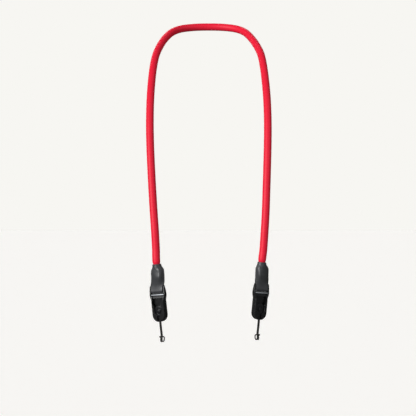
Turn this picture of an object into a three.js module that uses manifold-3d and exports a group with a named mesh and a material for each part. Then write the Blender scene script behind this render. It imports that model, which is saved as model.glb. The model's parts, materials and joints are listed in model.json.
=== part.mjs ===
// Rope camera strap, as it hangs round a neck: one braided rope, a folded leather end on
// each tip of the rope, and under each leather end a swinging quick-release link that
// holds a disc on a thin cord tether with a hitch.
// Millimetres. +Z is up, the front faces -Y, and the origin is the middle of the rope
// where it rests on the nape.

import * as THREE from 'three';
import { mergeVertices } from 'three/addons/utils/BufferGeometryUtils.js';
import Module from 'manifold-3d';

const wasm = await Module();
wasm.setup();

// Driving dimensions

const GAP = 0.3; // clearance between neighbouring pieces
const CUT = 2; // how far a cutter or a joined stub runs past the face it meets
const ARC_STEPS = 8;
const HOLE_SIDES = 20;

const ROPE = { diameter: 10.8, tipDiameter: 7.8, tipLength: 16, sides: 12, steps: 72 };

// Middle of the rope between its straight ends, from the left end over the nape to the right end.
const ROPE_ROUTE = [
  [-71.3, -180, -324],
  [-72.6, -178.5, -299],
  [-74.5, -175.5, -273],
  [-76.5, -171, -243],
  [-78.4, -164.5, -212],
  [-80, -156, -182],
  [-81, -144.5, -150],
  [-81, -129, -118],
  [-80, -111, -91],
  [-78, -92, -66.5],
  [-74.8, -74, -48],
  [-69.2, -57, -33],
  [-62.8, -42, -21.5],
  [-54, -27.5, -11.5],
  [-42, -14.5, -5],
  [-23, -4, -1.2],
  [0, 0, 0],
  [23, -4, -1.2],
  [41, -14.5, -5],
  [52.6, -27.5, -11.5],
  [61, -42, -21.5],
  [67.7, -57, -33],
  [73.6, -74, -48],
  [76.6, -92, -66.5],
  [78.8, -111, -91],
  [80.2, -129, -118],
  [80.6, -144.5, -150],
  [79.9, -156, -182],
  [78.8, -164.5, -212],
  [77.6, -171, -243],
  [76.4, -175.5, -273],
  [74.8, -178.5, -299],
  [72.9, -180, -324],
];

// Each end hangs from the middle of its link's crossbar. The foot leans in by tilt degrees,
// and the front turns outward by yaw degrees.
const ENDS = [
  { name: 'left', side: -1, crossbar: [-69, -180, -377.9], tilt: 5.9, yaw: 26 },
  { name: 'right', side: 1, crossbar: [70.1, -180, -375.2], tilt: 5.3, yaw: 27 },
];

const LEATHER = { wall: 1.5, collarTop: 36, ropeStop: 18.7, loopDiameter: 7, loopWidth: 17.2, points: 28 };
LEATHER.bore = ROPE.tipDiameter + 2 * GAP;

// Outer form of the leather from its fold up to its collar: height above the crossbar, width,
// depth front to back, corner (2 is an ellipse, more is squarer) and shift towards the middle.
const LEATHER_SECTIONS = [
  { height: 0, width: 17.2, depth: 7, corner: 8, shift: 0 },
  { height: 2.2, width: 17.2, depth: 6.4, corner: 7, shift: 0 },
  { height: 5, width: 17.6, depth: 4.9, corner: 6, shift: 0 },
  { height: 8, width: 18.4, depth: 4.3, corner: 5, shift: 0.3 },
  { height: 12, width: 19.2, depth: 6, corner: 3.2, shift: 1 },
  { height: 15.5, width: 19.2, depth: 10, corner: 2.5, shift: 1.4 },
  { height: 19, width: 19.2, depth: 13.2, corner: 2.2, shift: 1.7 },
  { height: 22, width: 19.3, depth: 14, corner: 2.1, shift: 1.8 },
  { height: 25, width: 19.4, depth: 13.8, corner: 2.1, shift: 2 },
  { height: 28, width: 19, depth: 13.2, corner: 2.1, shift: 2.2 },
  { height: 29.8, width: 17.2, depth: 12.8, corner: 2.1, shift: 2.3 },
  { height: 31.4, width: 14.8, depth: 12.4, corner: 2, shift: 2.5 },
  { height: 33, width: 12.6, depth: 12, corner: 2, shift: 2.6 },
  { height: 36, width: 11.8, depth: 11.8, corner: 2, shift: 2.6 },
];

const LINK = {
  armWidth: 22.8, armTopWidth: 21.6, bodyWidth: 18.6, slotWidth: 19.2, depth: 10, armTopDepth: 3.5,
  edge: 0.5, armTop: 7, armSwell: 0, slotFoot: -7.2, shoulder: -5, waist: -14, waistEase: 4,
  thinFoot: -15.5, thinEase: 3, footCentre: -32.4, crossbarDiameter: 3.2,
};
LINK.armRound = (LINK.armTopWidth - LINK.slotWidth) / 4;
LINK.topRound = LINK.armTopDepth / 2 - LINK.edge;
LINK.tip = LINK.footCentre - LINK.bodyWidth / 2;
const FRONT = -LINK.depth / 2;

const BAR = { diameter: 1.8, length: 20.8, height: -5.4, depth: -1.5, sides: 14 };

// The web between the arms, behind the steel bar. Its top is a cradle under the leather fold.
const WEB = { front: -0.1, back: 1.7, cradle: LEATHER.loopDiameter / 2 + GAP };

const DISC = {
  diameter: 15.2, height: -27.6, front: -3.1, back: -0.4, chamfer: 0.5,
  bossDiameter: 4.6, bossRise: 1.2, sides: 36,
};

// The track that takes the disc: its roof and floor in depth, its top, and the lips' opening,
// which runs up to the slot between the arms.
const TRACK = { front: -3.4, back: 0.1, top: -9.9, lipTop: -18.2, lipOpening: 10.8, lipRound: 3 };

const NOTCH = { width: 4.2, top: -31, back: -0.2 };

// The tether's drop is where its strands are free of the notch, and its hitch the middle of the eye.
const TETHER = { diameter: 1.7, spacing: 1.9, drop: 8, hitch: -66, sides: 8, steps: 80 };
TETHER.start = DISC.height - DISC.diameter / 2 - GAP;
TETHER.depth = (DISC.front + DISC.back) / 2;

// Half of the hitch: from the hanging strand round the eye to the middle of the front band,
// measured from the middle of the eye.
const HITCH_HALF = [
  [0.95, 0, 5.6],
  [1, -1.1, 2.9],
  [1.05, -2.1, 0.4],
  [1.15, -1.6, -1.6],
  [1.35, 0, -2.4],
  [1.7, 1.7, -1.5],
  [2.1, 2.2, 0.4],
  [2.6, 1.8, 2.5],
  [2.9, 0.2, 3.9],
  [2.3, -1.7, 4.5],
  [0.9, -2.5, 4.6],
];

const FINISH = {
  rope: { color: '#d0142c', roughness: 0.75, metalness: 0 },
  leather: { color: '#2c2c2e', roughness: 0.55, metalness: 0 },
  housing: { color: '#1b1c1e', roughness: 0.4, metalness: 0 },
  steel: { color: '#c9ccd0', roughness: 0.2, metalness: 1 },
  disc: { color: '#242529', roughness: 0.45, metalness: 0 },
  tether: { color: '#3b3834', roughness: 0.8, metalness: 0 },
};

// Helpers

function toSolid(geometry) {
  const bare = geometry.clone();
  bare.deleteAttribute('normal');
  bare.deleteAttribute('uv');
  const merged = mergeVertices(bare, 1e-4);
  return new wasm.Manifold(new wasm.Mesh({
    numProp: 3,
    vertProperties: new Float32Array(merged.attributes.position.array),
    triVerts: new Uint32Array(merged.index.array),
  }));
}

function toGeometry(solid) {
  const mesh = solid.getMesh();
  const geometry = new THREE.BufferGeometry();
  geometry.setAttribute('position', new THREE.BufferAttribute(mesh.vertProperties, mesh.numProp));
  geometry.setIndex(new THREE.BufferAttribute(mesh.triVerts, 1));
  geometry.computeVertexNormals();
  return geometry;
}

function roundBar(diameter, length, sides) {
  return new THREE.CylinderGeometry(diameter / 2, diameter / 2, length, sides).rotateZ(Math.PI / 2);
}

function roundPost(diameter, foot, top, sides) {
  const post = new THREE.CylinderGeometry(diameter / 2, diameter / 2, top - foot, sides);
  return post.rotateX(Math.PI / 2).translate(0, 0, (foot + top) / 2);
}

// A plate drawn in x and z that fills the depth from front to back, with rounded edges.
// Points that fall together where a line meets an arc are kept once.
function plate(outline, front, back, edge = 0) {
  const corners = outline.getPoints(ARC_STEPS);
  const apart = corners.filter((point, i) => point.distanceTo(corners.at(i - 1)) > 1e-3);
  const geometry = new THREE.ExtrudeGeometry(new THREE.Shape(apart), {
    depth: back - front - 2 * edge,
    bevelEnabled: edge > 0,
    bevelThickness: edge,
    bevelSize: edge,
    bevelOffset: -edge,
    bevelSegments: 2,
  });
  return geometry.rotateX(Math.PI / 2).translate(0, back - edge, 0);
}

// A block drawn in y and z that fills a width in x.
function profileBlock(outline, width) {
  const settings = { depth: width, bevelEnabled: false, curveSegments: ARC_STEPS };
  const block = new THREE.ExtrudeGeometry(outline, settings).translate(0, 0, -width / 2);
  const alongY = new THREE.Vector3(0, 1, 0);
  const alongZ = new THREE.Vector3(0, 0, 1);
  const alongX = new THREE.Vector3(1, 0, 0);
  return block.applyMatrix4(new THREE.Matrix4().makeBasis(alongY, alongZ, alongX));
}

function tube(points, diameter, sides, steps) {
  const ring = new THREE.Shape();
  ring.absarc(0, 0, diameter / 2, 0, 2 * Math.PI);
  const path = new THREE.CatmullRomCurve3(points, false, 'centripetal');
  path.arcLengthDivisions = 2000;
  return new THREE.ExtrudeGeometry(ring, { steps, curveSegments: sides / 2, extrudePath: path });
}

function superellipse(section, angle) {
  const power = 2 / section.corner;
  const c = Math.cos(angle);
  const s = Math.sin(angle);
  return [
    (section.width / 2) * Math.sign(c) * Math.abs(c) ** power,
    (section.depth / 2) * Math.sign(s) * Math.abs(s) ** power,
  ];
}

// A closed skin through level sections, with a fan over each end.
function loft(sections, points, inward) {
  const position = [];
  const index = [];
  for (const section of sections) {
    for (let i = 0; i < points; i += 1) {
      const [x, y] = superellipse(section, (2 * Math.PI * i) / points);
      position.push(x + inward * section.shift, y, section.height);
    }
  }
  for (let row = 0; row + 1 < sections.length; row += 1) {
    for (let i = 0; i < points; i += 1) {
      const a = row * points + i;
      const b = row * points + ((i + 1) % points);
      index.push(a, b, b + points, a, b + points, a + points);
    }
  }
  const lastRow = (sections.length - 1) * points;
  for (const [row, section] of [[0, sections[0]], [lastRow, sections.at(-1)]]) {
    const centre = position.length / 3;
    position.push(inward * section.shift, 0, section.height);
    for (let i = 0; i < points; i += 1) {
      const a = row + i;
      const b = row + ((i + 1) % points);
      index.push(...(row === 0 ? [centre, b, a] : [centre, a, b]));
    }
  }
  const geometry = new THREE.BufferGeometry();
  geometry.setAttribute('position', new THREE.Float32BufferAttribute(position, 3));
  geometry.setIndex(index);
  return geometry;
}

function mesh(name, geometry, finish) {
  const piece = new THREE.Mesh(geometry, new THREE.MeshStandardMaterial(finish));
  piece.name = name;
  return piece;
}

function endFrame(end) {
  const group = new THREE.Group();
  group.position.set(...end.crossbar);
  group.rotation.y = THREE.MathUtils.degToRad(end.side * end.tilt);
  group.rotation.z = THREE.MathUtils.degToRad(end.side * end.yaw);
  group.updateMatrixWorld(true);
  return group;
}

function collarShift(end) {
  return -end.side * LEATHER_SECTIONS.at(-1).shift;
}

// Rope: one tube from collar to collar, with a pinched tip inside each collar

function ropePoint(end, height) {
  return new THREE.Vector3(collarShift(end), 0, height).applyMatrix4(endFrame(end).matrixWorld);
}

function ropeTip(end) {
  const top = LEATHER.collarTop + CUT;
  const tip = roundPost(ROPE.tipDiameter, top - CUT - ROPE.tipLength, top, ROPE.sides);
  return tip.translate(collarShift(end), 0, 0).applyMatrix4(endFrame(end).matrixWorld);
}

function rope() {
  const [left, right] = ENDS;
  const mouth = LEATHER.collarTop + GAP;
  const straight = mouth + ROPE.diameter / 2;
  const points = [
    ropePoint(left, mouth),
    ropePoint(left, straight),
    ...ROPE_ROUTE.map((point) => new THREE.Vector3(...point)),
    ropePoint(right, straight),
    ropePoint(right, mouth),
  ];
  const run = toSolid(tube(points, ROPE.diameter, ROPE.sides, ROPE.steps));
  return toGeometry(run.add(toSolid(ropeTip(left))).add(toSolid(ropeTip(right))));
}

// Leather end: a strip folded round the crossbar and sewn into a sleeve over the rope's tip

function leatherEnd(end) {
  const inward = -end.side;
  const skin = toSolid(loft(LEATHER_SECTIONS, LEATHER.points, inward));
  const fold = toSolid(roundBar(LEATHER.loopDiameter, LEATHER.loopWidth, LEATHER.points));
  const bore = roundPost(LEATHER.bore, LEATHER.ropeStop, LEATHER.collarTop + CUT, HOLE_SIDES);
  const ropeHole = toSolid(bore.translate(collarShift(end), 0, 0));
  const loopBore = LEATHER.loopDiameter - 2 * LEATHER.wall;
  const barHole = toSolid(roundBar(loopBore, LEATHER.loopWidth + CUT, HOLE_SIDES));
  return toGeometry(skin.add(fold).subtract(ropeHole).subtract(barHole));
}

// Link housing: two arms with a crossbar on top, and a rounded body with a track for the disc

function housingOutline() {
  const arm = LINK.armWidth / 2;
  const slot = LINK.slotWidth / 2;
  const body = LINK.bodyWidth / 2;
  const easeTop = LINK.shoulder - LINK.waistEase;
  const easeFoot = LINK.waist + LINK.waistEase;
  const shape = new THREE.Shape();
  shape.moveTo(slot, LINK.slotFoot);
  shape.lineTo(slot, LINK.armTop - LINK.armRound);
  shape.absarc(slot + LINK.armRound, LINK.armTop - LINK.armRound, LINK.armRound, Math.PI, 0, true);
  shape.lineTo(arm, LINK.armSwell);
  shape.lineTo(arm, LINK.shoulder);
  shape.bezierCurveTo(arm, easeTop, body, easeFoot, body, LINK.waist);
  shape.lineTo(body, LINK.footCentre);
  shape.absarc(0, LINK.footCentre, body, 0, -Math.PI, true);
  shape.lineTo(-body, LINK.waist);
  shape.bezierCurveTo(-body, easeFoot, -arm, easeTop, -arm, LINK.shoulder);
  shape.lineTo(-arm, LINK.armSwell);
  shape.absarc(-slot - LINK.armRound, LINK.armTop - LINK.armRound, LINK.armRound, Math.PI, 0, true);
  shape.lineTo(-slot, LINK.slotFoot);
  return shape;
}

// Seen from the side, the body thins out as a wedge towards the arms, whose tops are round.
function sideOutline() {
  const body = LINK.depth / 2 + CUT;
  const flank = LINK.depth / 2;
  const arm = LINK.armTopDepth / 2;
  const round = LINK.topRound;
  const roundFoot = LINK.armTop - round;
  const slope = (flank - arm) / (roundFoot - LINK.thinFoot);
  const easeFoot = LINK.thinFoot - LINK.thinEase;
  const easeTop = LINK.thinFoot + LINK.thinEase;
  const eased = flank - slope * LINK.thinEase;
  const shape = new THREE.Shape();
  shape.moveTo(body, LINK.tip - CUT);
  shape.lineTo(body, easeFoot - CUT);
  shape.lineTo(flank, easeFoot);
  shape.quadraticCurveTo(flank, LINK.thinFoot, eased, easeTop);
  shape.lineTo(arm, roundFoot);
  shape.absarc(arm - round, roundFoot, round, 0, Math.PI / 2);
  shape.lineTo(round - arm, LINK.armTop);
  shape.absarc(round - arm, roundFoot, round, Math.PI / 2, Math.PI);
  shape.lineTo(-eased, easeTop);
  shape.quadraticCurveTo(-flank, LINK.thinFoot, -flank, easeFoot);
  shape.lineTo(-body, easeFoot - CUT);
  shape.lineTo(-body, LINK.tip - CUT);
  return shape;
}

function webOutline() {
  const backAngle = -Math.acos(WEB.back / WEB.cradle);
  const frontAngle = -Math.acos(WEB.front / WEB.cradle);
  const shape = new THREE.Shape();
  shape.moveTo(WEB.back, LINK.slotFoot - CUT);
  shape.absarc(0, 0, WEB.cradle, backAngle, frontAngle, true);
  shape.lineTo(WEB.front, LINK.slotFoot - CUT);
  return shape;
}

function trackOutline() {
  const half = DISC.diameter / 2 + GAP;
  const shape = new THREE.Shape();
  shape.moveTo(-half, TRACK.top);
  shape.lineTo(-half, DISC.height);
  shape.absarc(0, DISC.height, half, Math.PI, 2 * Math.PI);
  shape.lineTo(half, TRACK.top);
  return shape;
}

function lipOutline() {
  const wide = DISC.diameter / 2 + GAP;
  const half = TRACK.lipOpening / 2;
  const top = LINK.slotFoot + CUT;
  const shape = new THREE.Shape();
  shape.moveTo(-wide, top);
  shape.lineTo(-wide, TRACK.lipTop + TRACK.lipRound);
  shape.quadraticCurveTo(-wide, TRACK.lipTop, -half, TRACK.lipTop - TRACK.lipRound);
  shape.lineTo(-half, DISC.height);
  shape.absarc(0, DISC.height, half, Math.PI, 2 * Math.PI);
  shape.lineTo(half, TRACK.lipTop - TRACK.lipRound);
  shape.quadraticCurveTo(wide, TRACK.lipTop, wide, TRACK.lipTop + TRACK.lipRound);
  shape.lineTo(wide, top);
  return shape;
}

function notchOutline() {
  const half = NOTCH.width / 2;
  const shape = new THREE.Shape();
  shape.moveTo(-half, NOTCH.top);
  shape.lineTo(-half, LINK.tip - CUT);
  shape.lineTo(half, LINK.tip - CUT);
  shape.lineTo(half, NOTCH.top);
  return shape;
}

function linkHousing() {
  const board = toSolid(plate(housingOutline(), FRONT, -FRONT, LINK.edge));
  const side = toSolid(profileBlock(sideOutline(), LINK.armWidth + CUT));
  const blank = board.intersect(side);
  const crossbar = toSolid(roundBar(LINK.crossbarDiameter, LINK.slotWidth + 2 * GAP, HOLE_SIDES));
  const web = toSolid(profileBlock(webOutline(), LINK.slotWidth + 2 * GAP));
  const track = toSolid(plate(trackOutline(), TRACK.front, TRACK.back));
  const opening = toSolid(plate(lipOutline(), FRONT - CUT, TRACK.front + GAP));
  const notch = toSolid(plate(notchOutline(), FRONT - CUT, NOTCH.back));
  const socket = roundBar(BAR.diameter + 2 * GAP, BAR.length + 2 * GAP, BAR.sides);
  const sockets = toSolid(socket.translate(0, BAR.depth, BAR.height));
  const body = blank.add(crossbar).add(web);
  return toGeometry(body.subtract(track).subtract(opening).subtract(notch).subtract(sockets));
}

function steelBar() {
  return roundBar(BAR.diameter, BAR.length, BAR.sides).translate(0, BAR.depth, BAR.height);
}

// Disc: turned about the depth axis, with a plain raised boss in the middle of its front

function anchorDisc() {
  const radius = DISC.diameter / 2;
  const boss = DISC.bossDiameter / 2;
  const profile = [
    [0, DISC.front - DISC.bossRise],
    [boss - DISC.chamfer, DISC.front - DISC.bossRise],
    [boss, DISC.front - DISC.bossRise + DISC.chamfer],
    [boss, DISC.front],
    [radius - DISC.chamfer, DISC.front],
    [radius, DISC.front + DISC.chamfer],
    [radius, DISC.back - DISC.chamfer],
    [radius - DISC.chamfer, DISC.back],
    [0, DISC.back],
  ].map(([x, y]) => new THREE.Vector2(x, y));
  return new THREE.LatheGeometry(profile, DISC.sides).translate(0, 0, DISC.height);
}

// Tether: one cord doubled through the notch, ending in a hitch with an open eye

function tether() {
  const strand = TETHER.spacing / 2;
  const eye = new THREE.Vector3(0, TETHER.depth, TETHER.hitch);
  const half = [
    new THREE.Vector3(strand, TETHER.depth, TETHER.start),
    new THREE.Vector3(strand, TETHER.depth, LINK.tip),
    new THREE.Vector3(strand, TETHER.depth, LINK.tip - TETHER.drop),
    ...HITCH_HALF.map((point) => new THREE.Vector3(...point).add(eye)),
  ];
  const mirrored = half.map((point) => new THREE.Vector3(-point.x, point.y, point.z)).reverse();
  return tube([...half, ...mirrored], TETHER.diameter, TETHER.sides, TETHER.steps);
}

// Assembly

const strap = new THREE.Group();
strap.add(mesh('rope', rope(), FINISH.rope));
for (const end of ENDS) {
  const group = endFrame(end);
  group.add(mesh(`leather_end_${end.name}`, leatherEnd(end), FINISH.leather));
  group.add(mesh(`link_housing_${end.name}`, linkHousing(), FINISH.housing));
  group.add(mesh(`steel_bar_${end.name}`, steelBar(), FINISH.steel));
  group.add(mesh(`anchor_disc_${end.name}`, anchorDisc(), FINISH.disc));
  group.add(mesh(`tether_${end.name}`, tether(), FINISH.tether));
  strap.add(group);
}

export default strap;
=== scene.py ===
# %% [markdown]
# # A rope camera strap
# The strap is one braided rope that lies round the neck. Each end of the rope is sewn into a folded leather
# sleeve, the fold hangs a plastic link on its crossbar, and the link holds a disc on a thin looped cord.
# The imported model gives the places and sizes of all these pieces, and it is loaded first as a fixed frame.
# This lesson then dresses each piece: cords as braided tubes, leather as a folded strip, and the hard
# pieces as modelled solids with soft edges.

# %% Load the frame
import json
import math

import bmesh
import bpy
import numpy as np
from mathutils import Matrix, Vector


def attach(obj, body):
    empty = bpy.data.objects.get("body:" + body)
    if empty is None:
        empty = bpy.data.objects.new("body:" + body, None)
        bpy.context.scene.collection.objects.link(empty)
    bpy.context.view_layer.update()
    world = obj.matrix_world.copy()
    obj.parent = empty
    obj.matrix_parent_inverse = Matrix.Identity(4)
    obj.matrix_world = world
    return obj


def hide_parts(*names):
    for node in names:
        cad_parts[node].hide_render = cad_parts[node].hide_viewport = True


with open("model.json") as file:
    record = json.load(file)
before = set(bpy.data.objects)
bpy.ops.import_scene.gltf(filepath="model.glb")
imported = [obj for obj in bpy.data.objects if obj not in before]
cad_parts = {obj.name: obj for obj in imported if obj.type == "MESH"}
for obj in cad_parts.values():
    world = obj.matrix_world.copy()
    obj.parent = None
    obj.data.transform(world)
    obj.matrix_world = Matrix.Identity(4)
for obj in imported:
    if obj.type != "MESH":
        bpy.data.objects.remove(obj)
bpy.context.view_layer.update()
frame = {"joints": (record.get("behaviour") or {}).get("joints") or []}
bpy.ops.object.select_all(action="DESELECT")

# %% [markdown]
# ## Small helpers
# Colours are picked as sRGB hex values, but shaders count light, so one function turns hex to linear.
# A second function adds a shader node with its settings and links, and a third starts a material.
# Every hard piece is modelled in millimetres about its link's crossbar and is put in place at the end.

# %% Colours, nodes and materials
MM = 0.001


def colour(hex_value):
    """An sRGB hex value as the linear colour that a shader reads."""
    channels = [int(hex_value[i:i + 2], 16) / 255 for i in (1, 3, 5)]
    return [c / 12.92 if c <= 0.04045 else ((c + 0.055) / 1.055) ** 2.4 for c in channels] + [1.0]


def add_node(tree, kind, settings=None, links=None):
    """Add a node. Settings are its own fields, and links give each input a value or another node's output."""
    node = tree.nodes.new(kind)
    for field, value in (settings or {}).items():
        setattr(node, field, value)
    for socket, source in (links or {}).items():
        if isinstance(source, bpy.types.NodeSocket):
            tree.links.new(source, node.inputs[socket])
        else:
            node.inputs[socket].default_value = source
    return node


def start_material(name, **sockets):
    """A new material with its shader's even values set. Returns the material, its nodes and the shader."""
    material = bpy.data.materials.new(name)
    material.use_nodes = True
    tree = material.node_tree
    shader = tree.nodes["Principled BSDF"]
    for socket, value in sockets.items():
        shader.inputs[socket.replace("_", " ")].default_value = value
    return material, tree, shader


# %% [markdown]
# ## The camera
# The camera is level and straight in front. The ends of the strap hang in one upright plane, and in that
# plane one pixel of the picture is a known size, so the lens follows from the distance to the plane.

# %% Camera
PICTURE_SIDE = 416
PIXEL = 1.345 * MM
MIDDLE_COLUMN = 209
EYE_HEIGHT = -0.2665
ENDS_PLANE = -0.180
CAMERA_DISTANCE = 1.900
SENSOR = 36.0

eye = bpy.data.cameras.new("camera")
eye.sensor_width = SENSOR
eye.lens = SENSOR * CAMERA_DISTANCE / (PICTURE_SIDE * PIXEL)
camera = bpy.data.objects.new("camera", eye)
camera.location = ((PICTURE_SIDE / 2 - MIDDLE_COLUMN) * PIXEL, ENDS_PLANE - CAMERA_DISTANCE, EYE_HEIGHT)
camera.rotation_euler = (math.pi / 2, 0, 0)
bpy.context.scene.collection.objects.link(camera)
bpy.context.scene.camera = camera
bpy.context.scene.view_settings.view_transform = "Standard"
print("lens", round(eye.lens, 1), "mm, camera at", [round(v, 4) for v in camera.location])

# %% [markdown]
# ## Where the two ends hang
# Each link swings on a crossbar, and the frame's joints give the crossbar's place and direction. From
# these comes a frame for each end: x along the crossbar, y towards the back and z up the leather. All
# the pieces of an end are made in that frame, in millimetres.

# %% Frames of the two ends
SIDES = {"left": -1, "right": 1}


def end_frame(side):
    """Turns millimetres about one end's crossbar into the shared frame."""
    joint = next(j for j in frame["joints"] if j["name"] == f"{side}_link_swing")
    across = Vector(joint["axis"]).normalized()
    up = Vector((-across.z, 0, across.x)).normalized()
    back = up.cross(across)
    turn = Matrix((across, back, up)).transposed().to_4x4()
    return Matrix.Translation(joint["pos_m"]) @ turn @ Matrix.Scale(MM, 4)


END_FRAMES = {side: end_frame(side) for side in SIDES}
for side, place in END_FRAMES.items():
    print(side, "crossbar at", [round(v, 4) for v in place.translation])

# %% [markdown]
# ## Braided cords
# A braided cord has two sets of plaits that wind round it in opposite ways and pass over and under each
# other. A plain tube with a bump map would look flat in close views, so the plaits are raised on the
# tube's own mesh: its columns and rows follow the plaits' crossing points, four or more to each crossing.
# The curve through the route's points is a centripetal Catmull-Rom curve, which doesn't overshoot.

# %% Smooth line through a route
CURVE_SAMPLES = 60


def smooth_line(route):
    """Many points on one smooth curve through the route's points."""
    knots = np.array(route, float)
    knots = np.vstack([2 * knots[0] - knots[1], knots, 2 * knots[-1] - knots[-2]])
    stretches = []
    for p0, p1, p2, p3 in zip(knots, knots[1:], knots[2:], knots[3:]):
        t1 = np.sqrt(np.linalg.norm(p1 - p0))
        t2 = t1 + np.sqrt(np.linalg.norm(p2 - p1))
        t3 = t2 + np.sqrt(np.linalg.norm(p3 - p2))
        t = np.linspace(t1, t2, CURVE_SAMPLES, endpoint=False)[:, None]
        a1 = (t1 - t) / t1 * p0 + t / t1 * p1
        a2 = ((t2 - t) * p1 + (t - t1) * p2) / (t2 - t1)
        a3 = ((t3 - t) * p2 + (t - t2) * p3) / (t3 - t2)
        b1 = (t2 - t) / t2 * a1 + t / t2 * a2
        b2 = ((t3 - t) * a2 + (t - t1) * a3) / (t3 - t1)
        stretches.append(((t2 - t) * b1 + (t - t1) * b2) / (t2 - t1))
    return np.vstack(stretches + [knots[-2:-1]])


def even_line(line, step):
    """The same line with its points an even step apart, and its length."""
    run = np.concatenate([[0], np.cumsum(np.linalg.norm(np.diff(line, axis=0), axis=1))])
    at = np.linspace(0, run[-1], round(run[-1] / step) + 1)
    return np.stack([np.interp(at, run, line[:, axis]) for axis in range(3)], axis=1), run[-1]


# %% Braid pattern and tube


def braid(across, along, over):
    """Height of a braid from 0 in a groove to 1 on a plait, and 1 where the plait on top leans right.

    across and along count plaits round the cord and crossings down it. A plait passes over as many
    crossings as over says, and then under as many.
    """
    rising, falling = across + along, across - along
    i, j = np.floor(rising), np.floor(falling)
    right_on_top = np.mod(i - j, 2 * over) < over
    along_right = np.mod(i - falling + 1, 2 * over) / over
    along_left = (np.mod(rising - j, 2 * over) - over) / over
    width = np.where(right_on_top, rising - i, falling - j)
    float_share = np.where(right_on_top, along_right, along_left)
    round_back = np.sin(np.pi * width) ** 0.7
    arch = np.sin(np.pi * np.clip(float_share, 0, 1)) ** 0.6
    return round_back * (0.35 + 0.65 * arch), right_on_top.astype(float)


def side_vectors(line):
    """Two square-on directions at each point of a line, which turn along it without twisting."""
    along = np.gradient(line, axis=0)
    along /= np.linalg.norm(along, axis=1)[:, None]
    first = np.cross(along[0], (0.0, 1.0, 0.0))
    sides = [first / np.linalg.norm(first)]
    for direction in along[1:]:
        side = sides[-1] - direction * (sides[-1] @ direction)
        sides.append(side / np.linalg.norm(side))
    return np.array(sides), np.cross(along, np.array(sides))


def braided_tube(name, line, radius, plaits, samples, over, relief):
    """A closed braided tube. radius is one value for each point, and samples are columns to a crossing."""
    rows, columns = len(line), plaits * samples
    across = np.arange(columns + 1) / samples
    along = np.arange(rows) / samples
    height, leaning = braid(across[None, :-1], along[:, None], over)
    side, front = side_vectors(line)
    angle = 2 * np.pi * np.arange(columns) / columns
    ring = side[:, None] * np.cos(angle)[None, :, None] + front[:, None] * np.sin(angle)[None, :, None]
    reach = radius[:, None] - relief * (1 - height)
    points = (line[:, None] + ring * reach[:, :, None]).reshape(-1, 3)
    points = np.vstack([points, line[:1], line[-1:]])
    r, c = np.meshgrid(np.arange(rows - 1), np.arange(columns), indexing="ij")
    here, there = r * columns + c, r * columns + (c + 1) % columns
    quads = np.stack([here, there, there + columns, here + columns], axis=-1).reshape(-1, 4)
    first_cap = [(rows * columns, (k + 1) % columns, k) for k in range(columns)]
    last = (rows - 1) * columns
    last_cap = [(rows * columns + 1, last + k, last + (k + 1) % columns) for k in range(columns)]
    mesh = bpy.data.meshes.new(name)
    mesh.from_pydata(points.tolist(), [], quads.tolist() + first_cap + last_cap)
    corners = np.stack([
        np.stack([across[c], across[c + 1], across[c + 1], across[c]], axis=-1),
        np.stack([along[r], along[r], along[r + 1], along[r + 1]], axis=-1),
    ], axis=-1).reshape(-1, 2)
    caps = np.zeros((3 * 2 * columns, 2))
    mesh.uv_layers.new(name="plaits").data.foreach_set("uv", np.vstack([corners, caps]).ravel())
    for attribute, values in (("height", height), ("leaning", leaning)):
        filled = np.concatenate([values.ravel(), [0, 0]])
        mesh.attributes.new(attribute, "FLOAT", "POINT").data.foreach_set("value", filled)
    mesh.polygons.foreach_set("use_smooth", [True] * len(mesh.polygons))
    tube = bpy.data.objects.new(name, mesh)
    bpy.context.scene.collection.objects.link(tube)
    return tube


print("braid height at a crossing's middle", round(float(braid(np.array(0.5), np.array(0.0), 2)[0]), 2))

# %% [markdown]
# ## The rope
# The rope is a soft core in a tight sheath of 32 plaits, 16 each way. It hangs from the nape over both
# shoulders, so its route is a given list of points, from the left sleeve to the right one. Inside
# each collar it is squeezed a little thinner.

# %% Rope route
ROPE_DIAMETER = 10.8 * MM
COLLAR_TOP = 36.0
COLLAR_SHIFT = 2.6
ROPE_TUCK = 4.0
ROPE_STRAIGHT = 41.7
ROPE_ROUTE = [
    (-0.0713, -0.1800, -0.3240),
    (-0.0726, -0.1785, -0.2990),
    (-0.0745, -0.1755, -0.2730),
    (-0.0765, -0.1710, -0.2430),
    (-0.0784, -0.1645, -0.2120),
    (-0.0800, -0.1560, -0.1820),
    (-0.0810, -0.1445, -0.1500),
    (-0.0810, -0.1290, -0.1180),
    (-0.0800, -0.1110, -0.0910),
    (-0.0780, -0.0920, -0.0665),
    (-0.0748, -0.0740, -0.0480),
    (-0.0692, -0.0570, -0.0330),
    (-0.0628, -0.0420, -0.0215),
    (-0.0540, -0.0275, -0.0115),
    (-0.0420, -0.0145, -0.0050),
    (-0.0230, -0.0040, -0.0012),
    (0.0000, 0.0000, 0.0000),
    (0.0230, -0.0040, -0.0012),
    (0.0410, -0.0145, -0.0050),
    (0.0526, -0.0275, -0.0115),
    (0.0610, -0.0420, -0.0215),
    (0.0677, -0.0570, -0.0330),
    (0.0736, -0.0740, -0.0480),
    (0.0766, -0.0920, -0.0665),
    (0.0788, -0.1110, -0.0910),
    (0.0802, -0.1290, -0.1180),
    (0.0806, -0.1445, -0.1500),
    (0.0799, -0.1560, -0.1820),
    (0.0788, -0.1645, -0.2120),
    (0.0776, -0.1710, -0.2430),
    (0.0764, -0.1755, -0.2730),
    (0.0748, -0.1785, -0.2990),
    (0.0729, -0.1800, -0.3240),
]


def collar_point(side, height):
    """A point on the middle line of one end's collar, at a height above the crossbar."""
    return tuple(END_FRAMES[side] @ Vector((-SIDES[side] * COLLAR_SHIFT, 0, height)))


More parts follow.
